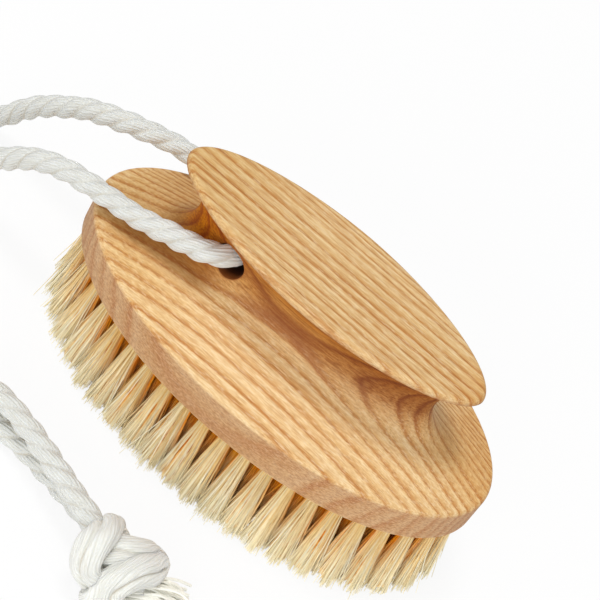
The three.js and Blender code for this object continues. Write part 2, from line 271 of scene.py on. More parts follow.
# Meshes
def add_mesh(name, points, faces, material):
    """A piece from points in millimetres and arrays of faces, one array for each number of corners."""
    corners = np.concatenate([part.ravel() for part in faces])
    sizes = np.concatenate([np.full(len(part), part.shape[1]) for part in faces])
    mesh = bpy.data.meshes.new(name)
    mesh.vertices.add(len(points))
    mesh.vertices.foreach_set("co", (points * MM).astype(np.float32).ravel())
    mesh.loops.add(len(corners))
    mesh.loops.foreach_set("vertex_index", corners.astype(np.int32))
    mesh.polygons.add(len(sizes))
    mesh.polygons.foreach_set("loop_start", (np.cumsum(sizes) - sizes).astype(np.int32))
    mesh.update(calc_edges=True)
    mesh.polygons.foreach_set("use_smooth", np.ones(len(sizes), bool))
    mesh.materials.append(material)
    piece = bpy.data.objects.new(name, mesh)
    bpy.context.collection.objects.link(piece)
    return piece


def flat_facets(piece):
    piece.data.polygons.foreach_set("use_smooth", np.zeros(len(piece.data.polygons), bool))


def add_value(piece, name, values):
    attribute = piece.data.attributes.new(name, "FLOAT", "POINT")
    attribute.data.foreach_set("value", np.asarray(values, np.float32).ravel())


def add_tubes(name, rings, material):
    """Closed tubes from rings of points: tubes x rows x sides x 3. Each tube has its own cell of the map."""
    tubes, rows, sides, _ = rings.shape
    index = np.arange(tubes * rows * sides).reshape(tubes, rows, sides)
    turned = np.roll(index, -1, axis=2)
    walls = np.stack([index[:, :-1], turned[:, :-1], turned[:, 1:], index[:, 1:]], axis=-1)
    caps = np.concatenate([index[:, 0, ::-1], index[:, -1, :]])
    piece = add_mesh(name, rings.reshape(-1, 3), [walls.reshape(-1, 4), caps], material)
    add_tube_map(piece.data, tubes, rows, sides)
    return piece


def add_tube_map(mesh, tubes, rows, sides):
    columns = math.ceil(math.sqrt(tubes))
    margin = 0.06
    cell = np.arange(tubes)
    corner = np.stack([cell % columns, cell // columns], axis=-1) + margin / 2
    around = (np.arange(sides)[:, None] + (0, 1, 1, 0)) / sides
    along = (np.arange(rows - 1)[:, None] + (0, 0, 1, 1)) / rows
    walls = np.empty((tubes, rows - 1, sides, 4, 2))
    walls[..., 0] = corner[:, None, None, None, 0] + around[None, None] * (1 - margin)
    walls[..., 1] = corner[:, None, None, None, 1] + along[None, :, None] * (1 - margin)
    turn = 2 * math.pi * np.arange(sides) / sides
    disc = np.stack([np.cos(turn), np.sin(turn)], axis=-1) * 0.3 / rows
    ends = []
    for place in (0.25, 0.75):
        middle = corner + (place * (1 - margin), (1 - 0.5 / rows) * (1 - margin))
        ends.append(middle[:, None, :] + disc[None])
    flat = np.concatenate([walls.reshape(-1, 2), *[end.reshape(-1, 2) for end in ends]]) / columns
    layer = mesh.uv_layers.new(name="OFBake")
    layer.data.foreach_set("uv", flat.astype(np.float32).ravel())


def tube_rings(line, radius, sides):
    side, other = steady_frames(line)
    turn = 2 * math.pi * np.arange(sides) / sides
    across = np.cos(turn)[:, None] * side[:, None] + np.sin(turn)[:, None] * other[:, None]
    return line[:, None] + radius * across


# Three-strand rope, laid left-handed, with yarns that run nearly along it
def strand_section(place_round):
    """For angles round the rope: the strands' reach, which strand it is, and the angle round that strand."""
    radius = ROPE_DIAMETER / 2
    third = 2 * math.pi / 3
    within = place_round % third - third / 2
    which = np.floor(place_round / third) % 3
    reach = STRAND_PLACE * np.cos(within) + np.sqrt(STRAND_RADIUS**2 - (STRAND_PLACE * np.sin(within)) ** 2)
    about = np.arctan2(reach * np.sin(within), reach * np.cos(within) - STRAND_PLACE)
    soft = radius - (radius - reach.min()) * (1 - np.cos(3 * within)) / 2
    reach = (1 - STRAND_SOFTNESS) * reach + STRAND_SOFTNESS * soft
    return reach, which, about


def rope_rings(line):
    """Rings of points with the depth of the grooves, the yarns' numbers and the way along the rope."""
    radius = ROPE_DIAMETER / 2
    side, other = steady_frames(line)
    along = distances(line)[:, None]
    turn = 2 * math.pi * np.arange(ROPE_SIDES)[None] / ROPE_SIDES
    wind = 2 * math.pi * along / ROPE_LAY
    reach, which, about = strand_section(turn + wind + math.pi / 3)
    groove = np.clip((radius - reach) / (GROOVE_DEPTH * radius), 0, 1)
    yarn = STRAND_YARNS * (about - YARN_TURN * wind * radius / STRAND_RADIUS) / (2 * math.pi)
    reach = radius - ROPE_RELIEF * (radius - reach)
    swell = ROPE_SWELL * np.sin(along / 9.7) + ROPE_SWELL * np.sin(along / 2.3 + 2 * which)
    across = np.cos(turn)[..., None] * side[:, None] + np.sin(turn)[..., None] * other[:, None]
    rings = line[:, None] + (reach * (1 + swell))[..., None] * across
    return rings, groove, yarn + YARN_OFFSET * which, along + 0 * turn


def add_rope(name, line, material):
    rings, groove, yarn, along = rope_rings(line)
    piece = add_tubes(name, rings[None], material)
    add_value(piece, "groove", groove)
    add_value(piece, "yarn", yarn)
    add_value(piece, "along", along)
    return piece


def declare_cord(piece, nodes):
    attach(piece, BODY)
    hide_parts(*nodes)


# Knot
def opened_frames(line):
    """Directions across the doubled rope and out of it, so that it lies flat round the knot's middle."""
    ahead = unit(np.gradient(line, axis=0))
    side = unit(np.cross(ahead, unit(line - np.array(KNOT_MIDDLE))))
    for _ in range(12):
        side[1:-1] = unit(side[:-2] + 2 * side[1:-1] + side[2:])
    side = unit(side - ahead * (side * ahead).sum(axis=1, keepdims=True))
    return side, np.cross(ahead, side)


def knot_section(along, turn, wind):
    """The doubled rope's reach in its five lobes, their height, and the parting between the two ropes."""
    lobes = np.abs(np.cos(KNOT_LOBES / 2 * (turn + wind)))
    uneven = 0.02 * np.sin(along / 3.1 + 2 * turn)
    reach = 1 - LOBE_RELIEF + LOBE_RELIEF * lobes**LOBE_SHAPE + uneven
    middle = PARTING_WANDER * np.sin(along / 9)
    parted = np.exp(-(((np.cos(turn) - middle) / PARTING_WIDTH) ** 2))
    return reach, lobes, parted


def add_knot(material):
    """The two ropes in the knot, pressed together and opened into one flat bundle of yarns."""
    line = curve_through(KNOT_ROUTE, ROPE_STEP)
    side, other = opened_frames(line)
    along = distances(line)[:, None]
    turn = 2 * math.pi * np.arange(ROPE_SIDES)[None] / ROPE_SIDES
    wind = 2 * math.pi * along / KNOT_LAY
    reach, lobes, parted = knot_section(along, turn, wind)
    wide = KNOT_HALF_WIDTH * reach * np.cos(turn)
    thick = KNOT_HALF_THICKNESS * reach * (1 - KNOT_PARTING * parted) * np.sin(turn)
    rings = line[:, None] + wide[..., None] * side[:, None] + thick[..., None] * other[:, None]
    rings[..., 2] = np.maximum(rings[..., 2], YARN_RADIUS)
    piece = add_tubes("knot", rings[None], material)
    loose = 0.4 * np.sin(along / 4.3 + 2 * turn) + 0.2 * np.sin(along / 1.9 - 5 * turn)
    add_value(piece, "groove", np.maximum(0.8 * (1 - lobes), parted))
    add_value(piece, "yarn", KNOT_YARNS * (turn + YARN_TURN * wind) / (2 * math.pi) + loose)
    add_value(piece, "along", along + 0 * turn)
    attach(piece, BODY)
    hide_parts("rope_knot")
    return piece


def fray_line(line, side, other):
    """One loose yarn of a rope's end, fanning out and lying down on the table."""
    share = np.linspace(0, 1, len(line))
    radius = TAIL_RADIUS * math.sqrt(draw.random())
    angle = draw.random() * 2 * math.pi
    fan = 1 + YARN_FAN * share**1.4
    sway = YARN_SWAY * share * np.sin(share * draw.uniform(2, 6) + draw.uniform(0, 6))
    aside = radius * math.cos(angle) * fan + draw.normal(0, 1.0) * share**2 + sway
    above = radius * math.sin(angle) * fan * (1 - 0.5 * share) + sway
    yarn = line + side * aside[:, None] + other * above[:, None]
    yarn = line[0] + (yarn - line[0]) * draw.uniform(*YARN_LENGTHS)
    yarn[:, 2] = np.maximum(yarn[:, 2], YARN_RADIUS + 0.1 + draw.random())
    return even_rows(yarn, len(line))


def add_frays(name, route, node, material, loose_strands=()):
    line = curve_through(route, TAIL_STEP)
    side, other = steady_frames(line)
    rings = []
    for _ in range(TAIL_YARNS):
        rings.append(tube_rings(fray_line(line, side, other), YARN_RADIUS, YARN_SIDES))
    for strand in loose_strands:
        loose = even_rows(curve_through(strand, TAIL_STEP), len(line))
        rings.append(tube_rings(loose, LOOSE_RADIUS, YARN_SIDES))
    piece = add_tubes(name, np.stack(rings), material)
    flat_facets(piece)
    tubes, rows = len(rings), len(line)
    add_value(piece, "groove", np.zeros(tubes * rows * YARN_SIDES))
    add_value(piece, "yarn", np.repeat(np.arange(tubes) + 0.5, rows * YARN_SIDES))
    add_value(piece, "along", np.tile(np.repeat(np.arange(rows), YARN_SIDES), tubes))
    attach(piece, BODY)
    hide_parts(node)
    return piece


# Block
def outline(shape, turn):
    """Points of an oval with half sizes and an exponent, where 2 is an ellipse."""
    length, width, exponent = shape
    power = 2 / exponent
    along, across = np.cos(turn), np.sin(turn)
    x = length * np.sign(along) * np.abs(along) ** power
    y = width * np.sign(across) * np.abs(across) ** power
    return np.stack([x, y], axis=-1)


def band_levels():
    """Ovals with their heights, over the underside and up the side band to its rounded edge."""
    levels = [(BASE * (0.5, 0.5, 1), UNDERSIDE), (BASE - 3 * INSET, UNDERSIDE)]
    for turn in np.linspace(0, math.pi / 2, 5):
        shape = BASE - UNDER_ROUND * (1 - math.sin(turn)) * INSET
        levels.append((shape, UNDERSIDE + UNDER_ROUND * (1 - math.cos(turn))))
    for z in np.linspace(UNDERSIDE + 2, BAND_TOP - 2, 5):
        levels.append((BASE, z))
    for turn in np.linspace(0, math.pi / 2, 7):
        shape = BASE - EDGE_ROUND * (1 - math.cos(turn)) * INSET
        levels.append((shape, BAND_TOP - EDGE_ROUND * (1 - math.sin(turn))))
    return levels


def groove_levels():
    """A straight slope up from the band, then a round cove to the neck."""
    shoulder = BASE - EDGE_ROUND * INSET
    reach = shoulder[1] - NECK[1]
    rise = NECK_LEVEL - BAND_TOP
    to_centre = math.hypot(reach - COVE_RADIUS, rise)
    slope = math.atan2(rise, reach - COVE_RADIUS) - math.asin(COVE_RADIUS / to_centre)
    foot_turn = math.pi / 2 - slope
    foot = NECK + (shoulder - NECK) * COVE_RADIUS * (1 - math.cos(foot_turn)) / reach
    foot_level = NECK_LEVEL - COVE_RADIUS * math.sin(foot_turn)
    levels = []
    for share in np.linspace(0, 1, 12)[1:-1]:
        levels.append((shoulder + (foot - shoulder) * share, BAND_TOP + (foot_level - BAND_TOP) * share))
    for turn in np.linspace(foot_turn, 0, 22):
        shape = NECK + (shoulder - NECK) * COVE_RADIUS * (1 - math.cos(turn)) / reach
        levels.append((shape, NECK_LEVEL - COVE_RADIUS * math.sin(turn)))
    return levels


def grip_levels():
    """From the neck out to the grip's lip, over its rounded rim and in to the flat top."""
    levels = []
    for turn in np.linspace(0, LIP_TURN, 20)[1:]:
        shape = NECK + (GRIP - NECK) * (1 - math.cos(turn)) / (1 - math.cos(LIP_TURN))
        levels.append((shape, NECK_LEVEL + (LIP - NECK_LEVEL) * math.sin(turn) / math.sin(LIP_TURN)))
    for turn in np.linspace(0, math.pi / 2, 10)[1:]:
        levels.append((GRIP - GRIP_RIM * (1 - math.cos(turn)) * INSET, LIP + GRIP_RIM * math.sin(turn)))
    levels.append((GRIP - 3 * INSET, TOP))
    levels.append((GRIP * (0.5, 0.5, 1), TOP))
    return levels


def block_mesh(material):
    levels = band_levels() + groove_levels() + grip_levels()
    turn = 2 * math.pi * np.arange(FACETS) / FACETS
    rings = [np.column_stack([outline(shape, turn), np.full(FACETS, z)]) for shape, z in levels]
    points = np.vstack([*rings, [[0, 0, UNDERSIDE], [0, 0, TOP]]])
    index = np.arange(len(levels) * FACETS).reshape(len(levels), FACETS)
    turned = np.roll(index, -1, axis=1)
    walls = np.stack([index[:-1], turned[:-1], turned[1:], index[1:]], axis=-1).reshape(-1, 4)
    bottom, top = len(points) - 2, len(points) - 1
    fans = [
        np.column_stack([np.full(FACETS, bottom), turned[0], index[0]]),
        np.column_stack([np.full(FACETS, top), index[-1], turned[-1]]),
    ]
    return add_mesh("block_of_ash", points, [walls, *fans], material)


def bore_cutter(material):
    """A round bar along Y whose ends flare, so that the bore's mouths are softened."""
    reach = []
    for turn in np.linspace(0, math.pi / 2, 6):
        radius = BORE_RADIUS + BORE_FLARE * (1 - math.cos(turn))
        reach.append((BORE_MOUTH + MOUTH_LENGTH * math.sin(turn), radius))
    reach.append((GRIP[1] + 2, BORE_RADIUS + BORE_FLARE))
    stations = [(-y, radius) for y, radius in reversed(reach)] + reach
    turn = 2 * math.pi * np.arange(BORE_SIDES) / BORE_SIDES
    rings = []
    for y, radius in stations:
        x = BORE_X + radius * np.cos(turn)
        rings.append(np.column_stack([x, np.full(BORE_SIDES, y), NECK_LEVEL - radius * np.sin(turn)]))
    return add_tubes("bore_cutter", np.stack(rings)[None], material)


def hole_cutter(roots, material):
    turn = 2 * math.pi * np.arange(HOLE_SIDES) / HOLE_SIDES
    ring = np.column_stack([np.cos(turn), np.sin(turn), np.zeros(HOLE_SIDES)]) * HOLE_RADIUS
    ends = [ring + (0, 0, UNDERSIDE - 1), ring + (0, 0, UNDERSIDE + HOLE_DEPTH)]
    tubes = np.stack(ends)[None] + np.column_stack([roots, np.zeros(len(roots))])[:, None, None]
    return add_tubes("hole_cutter", tubes, material)


def cut(piece, cutter):
    modifier = piece.modifiers.new("cut", "BOOLEAN")
    modifier.operation = "DIFFERENCE"
    modifier.solver = "EXACT"
    modifier.object = cutter
    bpy.context.view_layer.update()
    shown = piece.evaluated_get(bpy.context.evaluated_depsgraph_get())
    result = bpy.data.meshes.new_from_object(shown)
    piece.modifiers.clear()
    old, piece.data = piece.data, result
    bpy.data.meshes.remove(old)
    bpy.data.meshes.remove(cutter.data)


def build_block(roots, material):
    piece = block_mesh(material)
    cut(piece, hole_cutter(roots, material))
    cut(piece, bore_cutter(material))
    for layer in list(piece.data.uv_layers):
        piece.data.uv_layers.remove(layer)
    piece.data.set_sharp_from_angle(angle=math.radians(35))
    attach(piece, BODY)
    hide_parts("wooden_block")


# Tufts
def ring_tufts(row):
    """Roots spread evenly along one ring and the way that each tuft leans."""
    length, width = (BASE - (ROW_INSET + row * ROW_PITCH) * INSET)[:2]
    turn = np.linspace(0, 2 * math.pi, 4001)
    loop = np.column_stack([length * np.cos(turn), width * np.sin(turn)])
    along = distances(loop)
    count = round(along[-1] / TUFT_PITCH)
    stops = along[-1] * np.arange(count) / count
    roots = np.column_stack([np.interp(stops, along, loop[:, axis]) for axis in range(2)])
    away = unit(roots / (length**2, width**2))
    lost = np.where(away[:, :1] < 0, *LEAN_LOST_AT_ENDS)
    lean = TUFT_LEAN * (1 - row / TUFT_ROWS) * (1 - lost * away[:, :1] ** 2)
    return roots, away * lean


def line_tufts():
    half = BASE[0] - ROW_INSET - TUFT_ROWS * ROW_PITCH
    count = round(2 * half / ROW_PITCH) + 1
    roots = np.column_stack([np.linspace(-half, half, count), np.zeros(count)])
    return roots, np.zeros_like(roots)


def tuft_rows():
    rows = [ring_tufts(row) for row in range(TUFT_ROWS)]
    rows[-1] = tuple(np.vstack(pair) for pair in zip(rows[-1], line_tufts()))
    return rows


def disc_spots(inner, *shape):
    """Places spread evenly over a disc of radius 1, outside an inner radius."""
    angle = draw.uniform(0, 2 * math.pi, shape)
    radius = np.sqrt(draw.uniform(inner**2, 1, shape))
    return np.stack([radius * np.cos(angle), radius * np.sin(angle)], axis=-1)


def tip_places(spots, leans):
    """Where the bristles of each tuft end, gathered in clumps, with a few strays."""
    clumps = disc_spots(0.6, len(spots), CLUMPS)
    nearest = np.linalg.norm(spots[:, :, None] - clumps[:, None], axis=-1).argmin(axis=-1)
    gathered = np.take_along_axis(clumps, nearest[..., None], axis=1)
    each = (*spots.shape[:2], 1)
    jitter = np.where(draw.random(each) < STRAY_SHARE, STRAY_JITTER, TIP_JITTER)
    spread = ((1 - CLUMPING) * spots + CLUMPING * gathered) * TIP_SPREAD
    spread = spread + draw.normal(0, 1, spots.shape) * jitter
    return leans[:, None] * draw.normal(1, 0.08, each) + spread


def bristle_lines(roots, leans, count, root_spread):
    """Bowed bristles from the holes to ragged tips: bristles x rows x 3, and how far each faces out."""
    spots = disc_spots(0.7, len(roots), count)
    start = (spots * root_spread)[:, :, None]
    tip = tip_places(spots, leans)[:, :, None]
    share = np.linspace(0, 1, BRISTLE_ROWS)
    splay = np.clip((share - STRAIGHT_ROOT) / (1 - STRAIGHT_ROOT), 0, 1)[:, None] ** 1.15
    bow = draw.normal(0, BRISTLE_BOW, (*spots.shape[:2], 1, 2)) * np.sin(math.pi * share)[:, None]
    flat = roots[:, None, None] + start + (tip - start) * splay + bow
    ends = np.minimum(np.abs(draw.normal(0, RAGGED_TIPS, spots.shape[:2])) + 0.05, SHORTEST_LACKS)
    z = ROOT_LEVEL + (ends - ROOT_LEVEL)[..., None] * share
    outward = unit(roots / BASE[:2] ** 2 + 1e-9)
    facing = (spots * outward[:, None]).sum(axis=-1)
    return np.concatenate([flat, z[..., None]], axis=-1).reshape(-1, BRISTLE_ROWS, 3), facing.ravel()


def bristle_rings(lines):
    share = np.linspace(0, 1, BRISTLE_ROWS)
    radii = BRISTLE_RADIUS * (1 - BRISTLE_TAPER * share**3)
    spin = draw.uniform(0, 2 * math.pi, len(lines))
    turn = spin[:, None] - 2 * math.pi * np.arange(BRISTLE_SIDES)[None] / BRISTLE_SIDES
    across = np.stack([np.cos(turn), np.sin(turn), np.zeros_like(turn)], axis=-1)
    return lines[:, :, None] + radii[None, :, None, None] * across[:, None]


def build_bristles(name, node, tufts, count, root_spread, material):
    lines, facing = bristle_lines(*tufts, count, root_spread)
    piece = add_tubes(name, bristle_rings(lines), material)
    outermost = node == "tufts_outer_ring"
    # Painted shade and light in the tone: inner rings darker, hair facing the outside paler; hair facing away
    # gets painted amber shade.
    middle = OUTER_TONE if outermost else INNER_TONE
    varied = draw.normal(0, TONE_VARIES, len(lines))
    tone = np.clip(middle + TONE_TOWARDS_LIGHT * facing + varied, 0, 1)
    hair_shade = np.ones(len(lines))
    if outermost:
        hair_shade = np.clip((OPEN_FROM - facing) / SHADE_REACH, LEAST_SHADE, 1)
    add_value(piece, "tone", np.repeat(tone, BRISTLE_ROWS * BRISTLE_SIDES))
    add_value(piece, "hair_shade", np.repeat(hair_shade, BRISTLE_ROWS * BRISTLE_SIDES))
    flat_facets(piece)
    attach(piece, BODY)
    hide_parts(node)


def build_bundles(rows, material):
    """The middles of the tufts, where the bristles touch, as fluted rods under the loose ones."""
    roots, leans = (np.vstack(part) for part in zip(*rows))
    share = BUNDLE_SHARES
    outer = np.arange(len(roots)) < len(rows[0][0])
    turn = 2 * math.pi * np.arange(BUNDLE_SIDES) / BUNDLE_SIDES
    flute = np.where(np.arange(BUNDLE_SIDES) % 2, BUNDLE_FLUTE, 1.0)
    radii = np.where(outer[:, None], OUTER_BUNDLE, INNER_BUNDLE)[:, :, None, None]
    ring = np.stack([np.cos(turn), np.sin(turn)], axis=-1) * flute[:, None]
    flat = (roots[:, None] + leans[:, None] * share[:, None])[:, :, None] + radii * ring
    z = np.tile((ROOT_LEVEL * (1 - share))[None, :, None], (len(roots), 1, BUNDLE_SIDES))
    z[:, -2] = draw.uniform(*BUNDLE_ENDS, (len(roots), BUNDLE_SIDES))
    rings = np.concatenate([flat, z[..., None]], axis=-1)[:, :, ::-1]
    piece = add_tubes("tuft_middles", rings, material)
    flat_facets(piece)
    # Dark tones and full painted amber shade for the middles, inside the tufts.
    tone = np.tile(draw.uniform(*BUNDLE_TONES, (len(roots), 1, BUNDLE_SIDES)), (1, len(share), 1))
    add_value(piece, "tone", tone)
    add_value(piece, "hair_shade", np.ones(tone.size))
    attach(piece, BODY)


def build_anchors(roots, material):
    """Flat wires across the holes, of the kind over which tufts are folded."""
    half, thick, tall = HOLE_RADIUS + 0.25, 0.2, 1.0
    level = UNDERSIDE + HOLE_DEPTH - 2
    section = [(-thick, -tall), (thick, -tall), (thick, tall), (-thick, tall)]
    rings = []
    for x in (-half, -half + 0.3, half - 0.3, half):
        squeeze = 0.75 if abs(x) == half else 1.0
        rings.append([(x, y * squeeze, level + z * squeeze) for y, z in section])
    tubes = np.array(rings)[None] + np.column_stack([roots, np.zeros(len(roots))])[:, None, None]
    piece = add_tubes("tuft_anchors", tubes, material)
    flat_facets(piece)
    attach(piece, BODY)


# Materials
def srgb(red, green, blue):
    """A colour written as it is seen, turned into the shader's own numbers."""
    parts = [value / 255 for value in (red, green, blue)]
    return (*[part / 12.92 if part <= 0.04045 else ((part + 0.055) / 1.055) ** 2.4 for part in parts], 1)


class Shader:
    """A material's nodes, added by short calls that give back output sockets."""

    def __init__(self, name):
        self.material = bpy.data.materials.new(name)
        self.material.use_nodes = True
        self.tree = self.material.node_tree
        self.surface = self.tree.nodes["Principled BSDF"]

    def add(self, kind, inputs=(), **settings):
        made = self.tree.nodes.new(kind)
        for key, value in settings.items():
            setattr(made, key, value)
        for key, value in dict(inputs).items():
            self.put(value, made.inputs[key])
        return made

    def put(self, value, socket):
        if isinstance(value, bpy.types.NodeSocket):
            self.tree.links.new(value, socket)
        else:
            socket.default_value = value

    def set(self, **values):
        for key, value in values.items():
            self.put(value, self.surface.inputs[key.replace("_", " ").title().replace("Ior", "IOR")])

    def sum(self, operation, first, second=0.0, clamp=False):
        made = self.add("ShaderNodeMath", {0: first, 1: second}, operation=operation, use_clamp=clamp)
        return made.outputs[0]

    def product(self, first, *others):
        for other in others:
            first = self.sum("MULTIPLY", first, other)
        return first

    def mix(self, share, first, second, blend="MIX"):
        inputs = {0: share, 6: first, 7: second}
        made = self.add("ShaderNodeMix", inputs, data_type="RGBA", blend_type=blend)
        return made.outputs[2]

    def tint(self, share, colour, red, green, blue):
        """The colour, multiplied by another for a share of the way."""
        return self.mix(share, colour, (red, green, blue, 1), "MULTIPLY")

    def ramp(self, value, stops):
        made = self.add("ShaderNodeValToRGB", {"Fac": value})
        band = made.color_ramp
        while len(band.elements) < len(stops):
            band.elements.new(0.5)
        for element, (place, colour) in zip(band.elements, stops):
            element.position = place
            element.color = colour if not isinstance(colour, float) else (colour, colour, colour, 1)
        return made.outputs["Color"]

    def spread(self, value, low, high, to_low=0.0, to_high=1.0):
        inputs = {"Value": value, 1: low, 2: high, 3: to_low, 4: to_high}
        return self.add("ShaderNodeMapRange", inputs).outputs[0]

    def noise(self, place, detail=2.0, roughness=0.5):
        inputs = {"Vector": place, "Scale": 1.0, "Detail": detail, "Roughness": roughness}
        return self.add("ShaderNodeTexNoise", inputs).outputs["Fac"]

    def chance(self, number):
        """A random value that belongs to a whole number."""
        return self.add("ShaderNodeTexWhiteNoise", {"W": number}, noise_dimensions="1D").outputs["Value"]

    def millimetres(self, stretch=(1, 1, 1)):
        """Object coordinates in millimetres, squeezed along each axis."""
        place = self.add("ShaderNodeTexCoord").outputs["Object"]
        inputs = {"Vector": place, "Scale": [1000 * part for part in stretch]}
        return self.add("ShaderNodeMapping", inputs, vector_type="POINT").outputs["Vector"]

    def parts(self, vector):
        return self.add("ShaderNodeSeparateXYZ", {0: vector}).outputs

    def facing(self):
        return self.parts(self.add("ShaderNodeNewGeometry").outputs["Normal"])

    def value(self, name):
        return self.add("ShaderNodeAttribute", attribute_name=name).outputs["Fac"]

    def bump(self, height, strength, distance):
        inputs = {"Height": height, "Strength": strength, "Distance": distance}
        return self.add("ShaderNodeBump", inputs).outputs["Normal"]


# Growth rings: the tilt of their planes, and how many rings are passed at some places across the block
RING_TILT = 0.176
RING_FROM, RING_TO = -36.0, 52.0
RING_COUNT = 36
RINGS_PASSED = [
    (-36.0, 0), (-19.9, 5), (-8.9, 9), (-0.9, 12), (8.3, 15), (12.7, 17), (25.8, 24), (41.0, 31), (52.0, 36),
]
RING_COLOURS = [
    (0.00, srgb(188, 120, 52)),
    (0.10, srgb(201, 141, 72)),
    (0.22, srgb(222, 177, 112)),
    (0.45, srgb(233, 197, 140)),
    (0.72, srgb(240, 211, 160)),
    (0.87, srgb(231, 192, 132)),
    (0.95, srgb(198, 134, 64)),
    (1.00, srgb(188, 120, 52)),
]
# Shares of the way from one ring line to the next, with how open the wood is and how dark a line is there
PORE_SHARES = [(0.0, 1.0), (0.3, 0.6), (0.5, 0.3), (0.75, 0.35), (0.92, 0.85), (1.0, 1.0)]
LINE_SHARES = [(0.0, 1.0), (0.10, 0.6), (0.25, 0.0), (0.84, 0.0), (0.93, 0.6), (1.0, 1.0)]

# Shares of the height from the band to the top, or from the neck to the top, where the groove's grain, the
# painted shade in the groove and under the grip, and the painted light in the hollow show
COVE_HEIGHTS = [(0.0, 0.0), (0.25, 0.0), (0.45, 1.0), (0.86, 1.0), (0.93, 0.0)]
GROOVE_SHADE_HEIGHTS = [(0.0, 0.0), (0.22, 0.0), (0.46, 1.0), (0.80, 1.0), (0.94, 0.0), (1.0, 0.0)]
HOLLOW_LIGHT_HEIGHTS = [(0.0, 0.0), (0.2, 0.0), (0.4, 1.0), (0.85, 1.0), (0.93, 0.0)]
UNDER_GRIP_SHADE_HEIGHTS = [(0.0, 0.0), (0.35, 1.0), (0.75, 1.0), (0.9, 0.0)]
# How much lower the groove's painted shade reaches at the rope's end, in millimetres
ROPE_END_SHADE_DROP = 2.5

# Painted shade of the bore, from well inside it out to its mouths
BORE_SHADE_COLOURS = [
    (0.0, srgb(36, 14, 4)),
    (0.3, srgb(70, 32, 10)),
    (0.6, srgb(150, 84, 34)),
    (1.0, srgb(206, 142, 76)),
]


def growth_rings(wood):
    """How far a place lies from one dark ring line, 0, to the next, 1, and the nearest line's number."""
    tilted = (0.0, 1.0, -RING_TILT)
    place = wood.add("ShaderNodeVectorMath", {0: wood.millimetres(), 1: tilted}, operation="DOT_PRODUCT")
    across = wood.sum("ADD", place.outputs["Value"], RING_TILT * TOP)
    wander = wood.noise(wood.millimetres((0.010, 0.05, 0.03)), 1.0)
    uneven = wood.noise(wood.millimetres((0.006, 0.28, 0.06)), 0.0)
    ragged = wood.noise(wood.millimetres((0.06, 1.0, 0.4)), 2.0)
    for noise, reach in ((wander, 1.5), (uneven, 1.1), (ragged, 0.35)):
        across = wood.sum("ADD", across, wood.spread(noise, 0, 1, -reach, reach))
    stops = [((y - RING_FROM) / (RING_TO - RING_FROM), passed / RING_COUNT) for y, passed in RINGS_PASSED]
    passed = wood.ramp(wood.spread(across, RING_FROM, RING_TO), stops)
    count = wood.product(passed, float(RING_COUNT))
    return wood.sum("FRACT", count), wood.sum("ROUND", count)


def ring_colours(wood, phase, ring):
    """Pale wood between dark lines, some of them fainter than others."""
    colour = wood.ramp(phase, RING_COLOURS)
    return wood.mix(wood.spread(wood.chance(ring), 0.3, 1.0, 0.0, 0.4), colour, srgb(229, 190, 130))


def fine_grain(wood, colour, fibres, pores):
    threads = wood.noise(wood.millimetres((0.35, 2.2, 2.2)), 2.0, 0.6)
    clouds = wood.noise(wood.millimetres((0.02, 0.06, 0.06)))
    colour = wood.mix(wood.spread(fibres, 0.45, 0.68, 0.0, 0.45), colour, srgb(192, 130, 68))
    colour = wood.mix(wood.spread(threads, 0.50, 0.66, 0.0, 0.4), colour, srgb(248, 228, 190))
    colour = wood.mix(wood.spread(threads, 0.50, 0.34, 0.0, 0.28), colour, srgb(188, 124, 62))
    colour = wood.mix(wood.spread(clouds, 0.40, 0.70, 0.0, 0.25), colour, srgb(236, 200, 146))
    return wood.mix(wood.product(pores, 0.5), colour, srgb(156, 96, 42))


def upright_grain_and_shade(wood, colour):
    """Hatched grain on upright faces, where the fibres are cut across, and a redder, darker tone there:
    partly the side grain's own colour, partly painted shade.
    """
    upright = wood.sum("SUBTRACT", 1.0, wood.sum("ABSOLUTE", wood.facing()["Z"]))
    hatch = wood.noise(wood.millimetres((1.0, 1.0, 3.6)), 3.0, 0.7)
    dark = wood.spread(hatch, 0.50, 0.60, 0.0, wood.product(upright, 0.45))
    pale = wood.spread(hatch, 0.48, 0.40, 0.0, wood.product(upright, 0.4))
    # Painted shade in part: upright faces turn darker and redder, as faces that get less light from above.
    colour = wood.mix(wood.spread(upright, 0.55, 0.95, 0.0, 0.55), colour, srgb(172, 118, 80))
    colour = wood.mix(dark, colour, srgb(146, 92, 54))
    return wood.mix(pale, colour, srgb(226, 186, 142))


def cove_grain(wood, colour, phase, place):
    """Streaks and clear ring lines in the finger groove, and a deeper tone on its far half."""
    cove = wood.ramp(wood.spread(place["Z"], BAND_TOP, TOP), COVE_HEIGHTS)
    streaks = wood.noise(wood.millimetres((0.03, 2.0, 2.0)), 2.0, 0.6)
    dark = wood.product(wood.spread(streaks, 0.50, 0.64, 0.0, 0.6), cove)
    pale = wood.product(wood.spread(streaks, 0.50, 0.36, 0.0, 0.3), cove)
    lines = wood.product(wood.ramp(phase, LINE_SHARES), cove, 0.7)
    colour = wood.mix(dark, colour, srgb(154, 98, 48))
    colour = wood.mix(pale, colour, srgb(246, 216, 166))
    colour = wood.mix(lines, colour, srgb(146, 88, 52))
    far_half = wood.product(wood.spread(place["X"], 6.0, 22.0), wood.spread(place["X"], 48.0, 38.0), cove)
    return wood.tint(far_half, colour, 0.72, 0.60, 0.54)


def end_tones(wood, colour, place):
    """Warmer, darker tone above the band at the rope's end, and painted shade towards the back of the far
    end, which faces away from the light under the grip.
    """
    above_band = wood.spread(place["Z"], BAND_TOP - 1, BAND_TOP + 1)
    warm = wood.product(above_band, wood.spread(place["X"], -15.0, -45.0))
    colour = wood.tint(warm, colour, 0.92, 0.87, 0.74)
    # Painted shade towards the back of the far end.
    far_end_shade = wood.product(wood.spread(place["X"], 36.0, 48.0), wood.spread(place["Y"], -10.0, 0.0))
    return wood.tint(far_end_shade, colour, 0.94, 0.82, 0.64)


